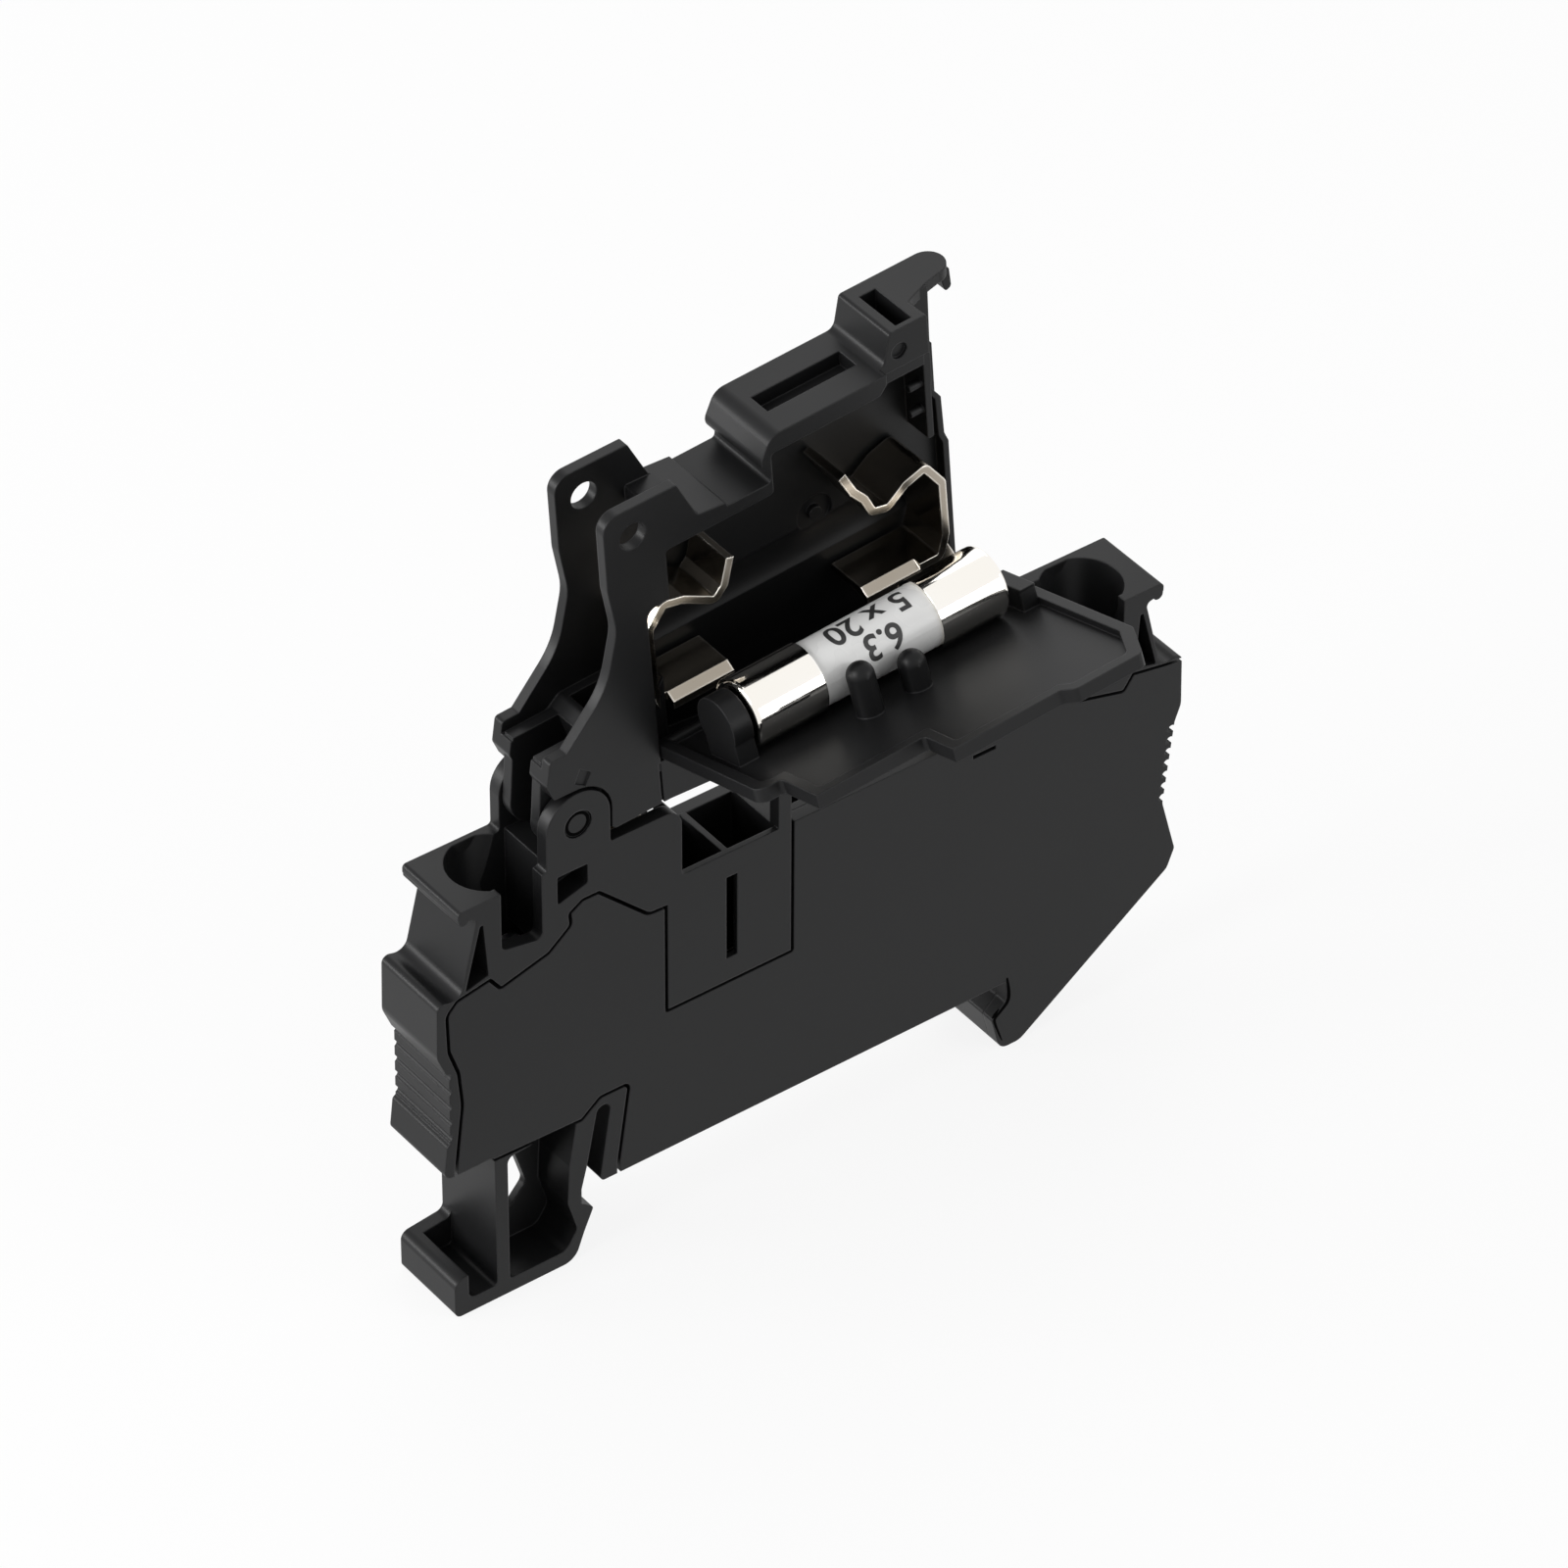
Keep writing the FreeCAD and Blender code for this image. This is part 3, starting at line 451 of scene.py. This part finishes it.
# %% Ink and gap finishes
INK_DARK = (0.012, 0.012, 0.012)
INK_WORN = (0.035, 0.035, 0.035)
INK_GRAIN = 5000.0
INK_PATCHES = 900.0
INK_ROUGHNESS = 0.5
INK_SHINE = 0.5
# The gap colours are painted shade: nearly black, as a narrow gap that lets no light out looks.
GAP_SHADE_DARK = (0.0012, 0.0012, 0.0013)
GAP_SHADE_PALE = (0.002, 0.002, 0.002)
GAP_PATCHES = 400.0
GAP_ROUGHNESS = 0.9
GAP_SHINE = 0.02


def dark_material(name, dark, pale, texture_scales, roughness, shine):
    """Dull dark finish whose colour changes a little."""
    material, tree, shader = new_material(name)
    texture = add_group(tree, MOULD, texture_scales)
    color = blend_colors(tree, texture.outputs["Patches"], dark, pale)
    tree.links.new(color, shader.inputs["Base Color"])
    shader.inputs["Roughness"].default_value = roughness
    shader.inputs["Specular IOR Level"].default_value = shine
    return material


INK = dark_material("fuse_ink", INK_DARK, INK_WORN,
                    {"Grain Scale": INK_GRAIN, "Patch Scale": INK_PATCHES}, INK_ROUGHNESS, INK_SHINE)
# Finish of painted shade for the narrow gaps.
PAINTED_GAP_SHADE = dark_material("painted_gap_shade", GAP_SHADE_DARK, GAP_SHADE_PALE,
                         {"Grain Scale": GRAIN_SCALE, "Patch Scale": GAP_PATCHES}, GAP_ROUGHNESS, GAP_SHINE)
print("dark finishes:", INK.name, PAINTED_GAP_SHADE.name)

# %% [markdown]
# ## From a curve, a text or a node tree to a plain piece
# The small pieces start as a text, a curve and a node tree, because those are quick to change. Each
# is then turned into a plain mesh, which any program can use. The mesh of a text or a curve comes
# with its caps loose, so its points are joined there and its faces turned outward. The node tree
# sweeps a closed ring, which needs neither.

# %% Piece helpers
WELD = 0.0001 * MM


def plain_mesh(source):
    """Mesh of an object as its modifiers and its bevel make it. The object itself goes away."""
    scene.collection.objects.link(source)
    bpy.context.view_layer.update()
    evaluated = source.evaluated_get(bpy.context.evaluated_depsgraph_get())
    mesh = bpy.data.meshes.new_from_object(evaluated)
    source.modifiers.clear()
    bpy.data.objects.remove(source)
    return mesh


def weld(work):
    """Join points that lie on each other, and turn every face outward."""
    bmesh.ops.remove_doubles(work, verts=work.verts[:], dist=WELD)
    bmesh.ops.recalc_face_normals(work, faces=work.faces[:])


def add_piece(name, mesh, finish):
    """Put a mesh in the scene as a piece with one finish."""
    mesh.materials.clear()
    mesh.materials.append(finish)
    piece = bpy.data.objects.new(name, mesh)
    scene.collection.objects.link(piece)
    print(name, "has", len(mesh.polygons), "faces")
    return piece


# %% [markdown]
# ## Print on the fuse
# A cartridge fuse has its rating printed round the tube. Here it is two lines of plain numbers. They
# could be a picture on the tube, but then they blur when the camera comes close. Flat text is easy to
# make, so it is made flat with the thickness of a coat of ink, cut into small faces, and wrapped on
# the tube: the height of a letter becomes an angle round the fuse's axis.

# %% Print
TUBE_RADIUS = 2.25 * MM
INK_LIFT = 0.012 * MM
INK_HALF = 0.006 * MM
TEXT_SIZE = 2.5 * MM
STROKE = 0.045 * MM
PRINT_SHIFT = 0.4 * MM
PRINT_CUTS = 2
# Each line of print has its piece's name, its words and its turn round the tube from the front.
PRINT = (("fuse_rating", "6.3", math.radians(40)), ("fuse_size", "5 x 20", math.radians(92)))


def flat_text(name, words):
    """Mesh of thin flat letters round the origin, cut into small faces."""
    curve = bpy.data.curves.new(name, "FONT")
    curve.body = words
    curve.size = TEXT_SIZE
    curve.offset = STROKE
    curve.extrude = INK_HALF
    curve.align_x = "CENTER"
    curve.align_y = "CENTER"
    mesh = plain_mesh(bpy.data.objects.new(name + "_flat", curve))
    work = bmesh.new()
    work.from_mesh(mesh)
    weld(work)
    bmesh.ops.triangulate(work, faces=work.faces[:])
    bmesh.ops.subdivide_edges(work, edges=work.edges[:], cuts=PRINT_CUTS, use_grid_fill=True)
    return mesh, work


def fuse_axes():
    """Middle of the fuse, the direction along it, and the front and side directions across it."""
    low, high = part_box("fuse_tube")
    hinge = next(j for j in frame["joints"] if j["name"] == "flap_close")
    along = -Vector(hinge["axis"]).normalized()
    front = Vector((0, -1, 0))
    front = (front - along * front.dot(along)).normalized()
    return (low + high) / 2, along, front, along.cross(front)


def wrapped_text(name, words, turn):
    """Text wrapped round the fuse's tube, its middle at an angle from the front."""
    mesh, work = flat_text(name, words)
    middle, along, front, side = fuse_axes()
    radius = TUBE_RADIUS + INK_LIFT
    for vertex in work.verts:
        angle = turn - vertex.co.y / radius
        out = front * math.cos(angle) - side * math.sin(angle)
        vertex.co = middle + along * (PRINT_SHIFT - vertex.co.x) + out * (radius + vertex.co.z)
    bmesh.ops.recalc_face_normals(work, faces=work.faces[:])
    work.to_mesh(mesh)
    work.free()
    return mesh


for name, words, turn in PRINT:
    text = add_piece(name, wrapped_text(name, words, turn), INK)
    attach(text, "flap")

# %% [markdown]
# ## Gaps round the pivot stubs
# The lever turns on a stub at each side, and a gap runs round the end of each stub in its bore. The
# gap's dark is painted shade: a nearly black ring at each stub's end. Both gaps are the same ring. A
# torus at each side would do, but then its place is typed twice. Geometry Nodes sweep one small
# profile round a circle and set a copy of it on each of two points, and the points come from the
# lever's hinge.

# %% Pivot points
RING_RADIUS = 0.82 * MM
RING_BEAD = 0.16 * MM
RING_SUNK = 0.10 * MM
RING_STEPS = 48
BEAD_STEPS = 10
STAND_UP = (math.radians(90), 0, 0)


def pivot_points():
    """Middles of the two stub ends, from the lever's hinge and the lever's own box."""
    hinge = next(j for j in frame["joints"] if j["name"] == "lever_swing")
    place = Vector(hinge["pos_m"])
    low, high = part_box("fuse_lever")
    return [Vector((place.x, y, place.z)) for y in (low.y + RING_SUNK, high.y - RING_SUNK)]


print("pivot points in mm:", [[round(v / MM, 2) for v in point] for point in pivot_points()])

# %% Ring tree


def add_input(group, name, socket_type, value):
    """Named input of a geometry tree."""
    socket = group.interface.new_socket(name, in_out="INPUT", socket_type=socket_type)
    if value is not None:
        socket.default_value = value
    return socket.identifier


def add_circle(group, steps, radius):
    """Circle curve whose radius comes from another node's output."""
    circle = group.nodes.new("GeometryNodeCurvePrimitiveCircle")
    circle.inputs["Resolution"].default_value = steps
    group.links.new(radius, circle.inputs["Radius"])
    return circle.outputs["Curve"]


def ring_tree():
    """Ring swept round a circle and set on every point of the mesh that comes in."""
    group = bpy.data.node_groups.new("pivot_rings", "GeometryNodeTree")
    group.interface.new_socket("Points", in_out="INPUT", socket_type="NodeSocketGeometry")
    names = {
        "Radius": add_input(group, "Radius", "NodeSocketFloat", RING_RADIUS),
        "Bead": add_input(group, "Bead", "NodeSocketFloat", RING_BEAD),
        "Finish": add_input(group, "Finish", "NodeSocketMaterial", None),
    }
    group.interface.new_socket("Rings", in_out="OUTPUT", socket_type="NodeSocketGeometry")
    start = group.nodes.new("NodeGroupInput")
    end = group.nodes.new("NodeGroupOutput")
    sweep = group.nodes.new("GeometryNodeCurveToMesh")
    copies = group.nodes.new("GeometryNodeInstanceOnPoints")
    copies.inputs["Rotation"].default_value = STAND_UP
    realize = group.nodes.new("GeometryNodeRealizeInstances")
    finish = group.nodes.new("GeometryNodeSetMaterial")
    links = group.links
    links.new(add_circle(group, RING_STEPS, start.outputs["Radius"]), sweep.inputs["Curve"])
    links.new(add_circle(group, BEAD_STEPS, start.outputs["Bead"]), sweep.inputs["Profile Curve"])
    links.new(start.outputs["Points"], copies.inputs["Points"])
    links.new(sweep.outputs["Mesh"], copies.inputs["Instance"])
    links.new(copies.outputs["Instances"], realize.inputs["Geometry"])
    links.new(realize.outputs["Geometry"], finish.inputs["Geometry"])
    links.new(start.outputs["Finish"], finish.inputs["Material"])
    links.new(finish.outputs["Geometry"], end.inputs["Rings"])
    return group, names


RINGS, RING_INPUTS = ring_tree()
print("ring inputs:", sorted(RING_INPUTS))

# %% Pivot gaps


def mesh_by_nodes(name, points, tree, values):
    """Plain mesh that a geometry tree makes from a list of points."""
    seed = bpy.data.meshes.new(name + "_points")
    seed.from_pydata(points, [], [])
    source = bpy.data.objects.new(name + "_points", seed)
    modifier = source.modifiers.new("nodes", "NODES")
    modifier.node_group = tree
    for identifier, value in values.items():
        modifier[identifier] = value
    return plain_mesh(source)


# The rings are painted shade: nearly black, for the dark gap round each stub.
ring_mesh = mesh_by_nodes("pivot_gap_shade", pivot_points(), RINGS, {RING_INPUTS["Finish"]: PAINTED_GAP_SHADE})
for polygon in ring_mesh.polygons:
    polygon.use_smooth = True
rings = add_piece("pivot_gap_shade", ring_mesh, PAINTED_GAP_SHADE)
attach(rings, "lever")

# %% [markdown]
# ## Gap beside the hook
# The fixed hook that holds the rail has a narrow gap along its inner edge. Its dark is painted shade:
# a nearly black bead sunk in the front face. It runs down the front face in a soft zigzag, wide at the
# bend and thin at the tip. A swept profile of one width would look drawn with a ruler. A curve with a
# bead round it takes a radius at each of its points, and that makes the line wide or thin.

# %% Hook gap
HOOK_BEAD = 0.19 * MM
HOOK_SUNK = 0.10 * MM
HOOK_ROUNDNESS = 3
HOOK_SMOOTHNESS = 3
HOOK_STEPS = 6
# Each point has its x and z in millimetres and its share of the bead's radius.
HOOK_PATH = ((17.74, 0.30, 0.7), (17.86, -0.40, 0.85), (17.95, -1.15, 1.0), (17.88, -1.85, 1.0),
             (17.30, -2.35, 0.95), (16.72, -2.80, 0.9), (16.74, -3.15, 0.8), (17.02, -4.00, 0.7),
             (17.42, -5.10, 0.6))


def hook_curve():
    """Smooth line on the front face of the housing, with a bead round it."""
    curve = bpy.data.curves.new("hook_gap_line", "CURVE")
    curve.dimensions = "3D"
    curve.bevel_depth = HOOK_BEAD
    curve.bevel_resolution = HOOK_ROUNDNESS
    curve.resolution_u = HOOK_STEPS
    curve.use_fill_caps = True
    line = curve.splines.new("NURBS")
    line.points.add(len(HOOK_PATH) - 1)
    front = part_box("housing")[0].y + HOOK_SUNK
    for point, (x, z, share) in zip(line.points, HOOK_PATH):
        point.co = (x * MM, front, z * MM, 1)
        point.radius = share
    line.order_u = HOOK_SMOOTHNESS
    line.use_endpoint_u = True
    return curve


def hook_mesh():
    """Closed mesh of the hook's line."""
    mesh = plain_mesh(bpy.data.objects.new("hook_gap_line", hook_curve()))
    work = bmesh.new()
    work.from_mesh(mesh)
    weld(work)
    work.to_mesh(mesh)
    work.free()
    return mesh


# A nearly black bead as painted shade of the hook's narrow gap.
gap = add_piece("hook_gap_shade", hook_mesh(), PAINTED_GAP_SHADE)
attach(gap, "block")

# %% [markdown]
# ## Floor, sky and lamps
# The photograph has a plain white ground. More light would make a grey floor white, but it would
# also bleach the object. So the floor is a wide pale sheet that is nearly white by itself, but only
# for the camera and for what plastic and metal reflect, and the shadow of the block stays on it.
# The sky does the same: it is white to look at, and lights the object only softly. The lamps are
# large and soft, so the dark plastic shows broad gentle highlights. The key lamp at the left is the
# strongest. The fill stands at the right in front, the back lamp high at the right behind, and the
# low rim lamp draws the edges from the left behind.

# %% Seen rays


def add_math(tree, operation, first, second):
    """Math node whose inputs are numbers or other nodes' outputs."""
    node = tree.nodes.new("ShaderNodeMath")
    node.operation = operation
    feed(tree, first, node.inputs[0])
    feed(tree, second, node.inputs[1])
    return node.outputs["Value"]


def seen_rays(tree):
    """1 for what the camera, a reflection or clear glass sees, and 0 for light on the object."""
    path = tree.nodes.new("ShaderNodeLightPath")
    mirrored = add_math(tree, "ADD", path.outputs["Is Glossy Ray"], path.outputs["Is Transmission Ray"])
    seen = add_math(tree, "ADD", path.outputs["Is Camera Ray"], mirrored)
    return add_math(tree, "MINIMUM", seen, 1.0)


# %% Floor
FLOOR_Z = cad_low.z
FLOOR_SIZE = 3.0
FLOOR_COLOR = (0.85, 0.85, 0.85)
FLOOR_ROUGHNESS = 0.9
FLOOR_GLOW = 0.86
WHITE = (1.0, 1.0, 1.0)


def floor_material():
    """Pale matt floor that glows for the camera and for reflections."""
    material, tree, shader = new_material("pale_floor")
    feed(tree, FLOOR_COLOR, shader.inputs["Base Color"])
    shader.inputs["Roughness"].default_value = FLOOR_ROUGHNESS
    glow = tree.nodes.new("ShaderNodeEmission")
    feed(tree, WHITE, glow.inputs["Color"])
    share = add_math(tree, "MULTIPLY", seen_rays(tree), FLOOR_GLOW)
    mix = tree.nodes.new("ShaderNodeMixShader")
    output = next(n for n in tree.nodes if n.type == "OUTPUT_MATERIAL")
    tree.links.new(share, mix.inputs["Fac"])
    tree.links.new(shader.outputs["BSDF"], mix.inputs[1])
    tree.links.new(glow.outputs["Emission"], mix.inputs[2])
    tree.links.new(mix.outputs["Shader"], output.inputs["Surface"])
    return material


def add_floor():
    """Square sheet under the block."""
    half = FLOOR_SIZE / 2
    corners = [(x, y, FLOOR_Z) for x, y in ((-half, -half), (half, -half), (half, half), (-half, half))]
    mesh = bpy.data.meshes.new("floor")
    mesh.from_pydata(corners, [], [(0, 1, 2, 3)])
    mesh.materials.append(floor_material())
    floor = bpy.data.objects.new("floor", mesh)
    scene.collection.objects.link(floor)


add_floor()

# %% Sky
SKY_LIGHT = 0.55
SKY_SEEN = 1.0


def add_sky():
    """Soft grey light for the object, and white for the camera and for reflections."""
    world = bpy.data.worlds.new("sky")
    world.use_nodes = True
    tree = world.node_tree
    background = next(n for n in tree.nodes if n.type == "BACKGROUND")
    feed(tree, WHITE, background.inputs["Color"])
    strength = add_range(tree, seen_rays(tree), 0.0, 1.0, SKY_LIGHT, SKY_SEEN)
    tree.links.new(strength, background.inputs["Strength"])
    scene.world = world


add_sky()

# %% Lamps
# Each lamp has its name, its place in metres, the length of its side and its power in watts.
LAMPS = (
    ("key", (-0.78, 0.05, 0.40), 0.45, 5.0),
    ("fill", (0.55, -0.70, 0.30), 0.5, 2.0),
    ("back", (0.42, 0.58, 0.62), 0.5, 1.2),
    ("rim", (-0.62, 0.46, 0.14), 0.25, 2.5),
)


def add_lamp(name, place, size, power):
    """Square area lamp that looks at the middle of the object."""
    data = bpy.data.lights.new(name, "AREA")
    data.shape = "SQUARE"
    data.size = size
    data.energy = power
    lamp = bpy.data.objects.new(name, data)
    lamp.location = place
    aim = (TARGET - lamp.location).normalized()
    lamp.rotation_mode = "QUATERNION"
    lamp.rotation_quaternion = aim.to_track_quat("-Z", "Y")
    scene.collection.objects.link(lamp)


for lamp_row in LAMPS:
    add_lamp(*lamp_row)
print("lamps:", [row[0] for row in LAMPS])
